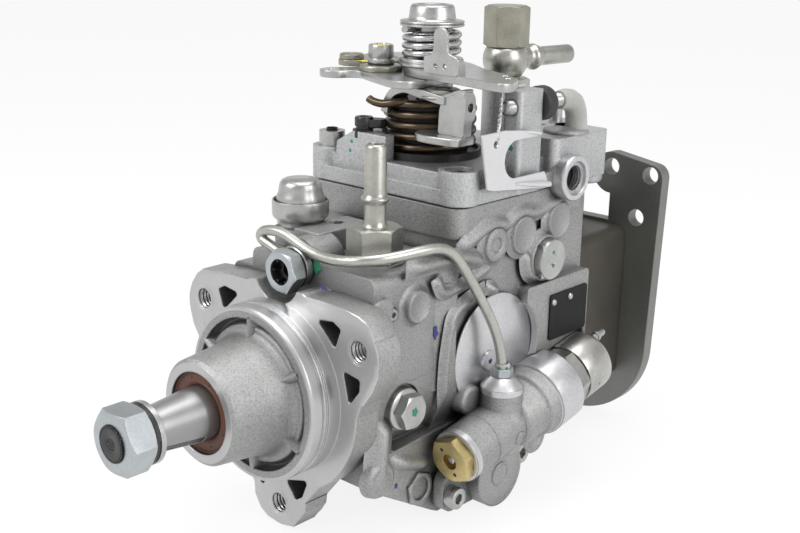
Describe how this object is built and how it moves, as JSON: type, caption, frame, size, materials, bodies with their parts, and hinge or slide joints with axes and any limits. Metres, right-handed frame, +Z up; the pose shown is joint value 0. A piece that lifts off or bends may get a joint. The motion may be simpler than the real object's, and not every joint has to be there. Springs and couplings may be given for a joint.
{
  "type": "diesel injection pump",
  "caption": "Rotary distributor fuel injection pump for a diesel engine, with tapered drive shaft, mounting flange, governor cover, throttle lever and advance solenoid.",
  "frame": {"origin": "centre of the pilot on the flange's mounting face", "axes": "-Y out along the drive shaft's thread end, +Z up towards the throttle spring, +X towards the advance solenoid's side"},
  "size_m": [0.1183, 0.2868, 0.1972],
  "materials": {
    "black": "matt",
    "brass": "satin",
    "bronze": "satin",
    "cast": "as cast",
    "cover": "as cast",
    "dark_steel": "blackened",
    "plated": "zinc plated",
    "rubber": "matt",
    "spring": "satin",
    "steel": "bright",
    "white": "satin"
  },
  "bodies": {
    "pump_body": {"advance_body": "cast", "advance_pipe": "steel", "advance_plug": "brass", "advance_screws": "steel", "advance_solenoid": "black", "centre_plug": "steel", "cover_gasket": "black", "cover_screws": "dark_steel", "delivery_holders": "steel", "distributor_barrel": "steel", "distributor_head": "steel", "eccentric_ring": "steel", "governor_cover": "cover", "governor_shaft": "steel", "head_screws": "steel", "inlet_connector": "steel", "label_plate": "white", "lever_pin": "steel", "lock_bolt": "white", "pressure_valve": "steel", "pump_housing": "cast", "return_bolt": "plated", "return_spring": "spring", "return_union": "steel", "shaft_bushes": "bronze", "shaft_seal": "rubber", "side_plug": "steel", "spring_cup": "dark_steel", "stop_cap": "rubber", "stop_screw": "steel", "stop_solenoid": "steel", "support_plate": "plated", "timing_cover": "cast", "union_bolt": "steel", "vane_pump_cover": "steel"},
    "drive_shaft": {"drive_shaft": "steel", "shaft_nut": "plated", "shaft_washers": "plated", "vane_rotor": "steel", "vanes": "steel", "drive_gear": "steel", "cross_disc": "steel", "cam_plate": "steel", "plunger": "steel"},
    "governor": {"weight_carrier": "steel", "flyweights": "steel"},
    "governor_sleeve": {"governor_sleeve": "steel"},
    "governor_lever": {"governor_lever": "steel"},
    "control_collar": {"control_collar": "steel"},
    "timing_piston": {"timing_piston": "steel"},
    "roller_ring": {"roller_ring": "steel", "rollers": "steel"},
    "throttle": {"throttle_shaft": "steel", "lever_plate": "steel", "lever_bolt": "steel", "upper_spring": "steel", "spring_cap": "steel"},
    "id_tag": {"id_tag": "white"},
    "stop_armature": {"stop_armature": "steel"},
    "delivery_valves": {"delivery_valves": "steel"}
  },
  "joints": [
    {"name": "drive_shaft_turn", "type": "hinge", "parent": "pump_body", "child": "drive_shaft", "pos_m": [0, 0, 0], "axis": [0, 1, 0], "continuous": true},
    {"name": "governor_turn", "type": "hinge", "parent": "pump_body", "child": "governor", "pos_m": [0, 0.07, 0.05125], "axis": [0, 1, 0], "continuous": true},
    {"name": "sleeve_slide", "type": "slide", "parent": "pump_body", "child": "governor_sleeve", "axis": [0, 1, 0], "range_m": [0, 0.003]},
    {"name": "lever_pivot", "type": "hinge", "parent": "pump_body", "child": "governor_lever", "pos_m": [0, 0.1, 0.024], "axis": [-1, 0, 0], "range_deg": [0, 6.35]},
    {"name": "collar_slide", "type": "slide", "parent": "pump_body", "child": "control_collar", "axis": [0, 1, 0], "range_m": [-0.0016, 0]},
    {"name": "piston_slide", "type": "slide", "parent": "pump_body", "child": "timing_piston", "axis": [1, 0, 0], "range_m": [0, 0.005]},
    {"name": "roller_ring_turn", "type": "hinge", "parent": "pump_body", "child": "roller_ring", "pos_m": [0, 0.074, 0], "axis": [0, -1, 0], "range_deg": [0, 6.6]},
    {"name": "throttle_turn", "type": "hinge", "parent": "pump_body", "child": "throttle", "pos_m": [0, 0.0845, 0.1], "axis": [0, 0, 1], "range_deg": [0, 20]},
    {"name": "tag_swing", "type": "hinge", "parent": "pump_body", "child": "id_tag", "pos_m": [0.035, 0.096, 0.1083], "axis": [0, -1, 0], "range_deg": [0, 50]},
    {"name": "stop_armature_slide", "type": "slide", "parent": "pump_body", "child": "stop_armature", "axis": [0, 0, 1], "range_m": [0, 0.0015]},
    {"name": "delivery_valve_slide", "type": "slide", "parent": "pump_body", "child": "delivery_valves", "axis": [0, 1, 0], "range_m": [0, 0.0015]}
  ],
  "couplings": [
    {"joint": "governor_turn", "follows": "drive_shaft_turn", "ratio": -1.5625},
    {"joint": "lever_pivot", "follows": "sleeve_slide", "rad_per_m": 36.697},
    {"joint": "collar_slide", "follows": "sleeve_slide", "ratio": -0.52844},
    {"joint": "roller_ring_turn", "follows": "piston_slide", "rad_per_m": 22.727}
  ]
}
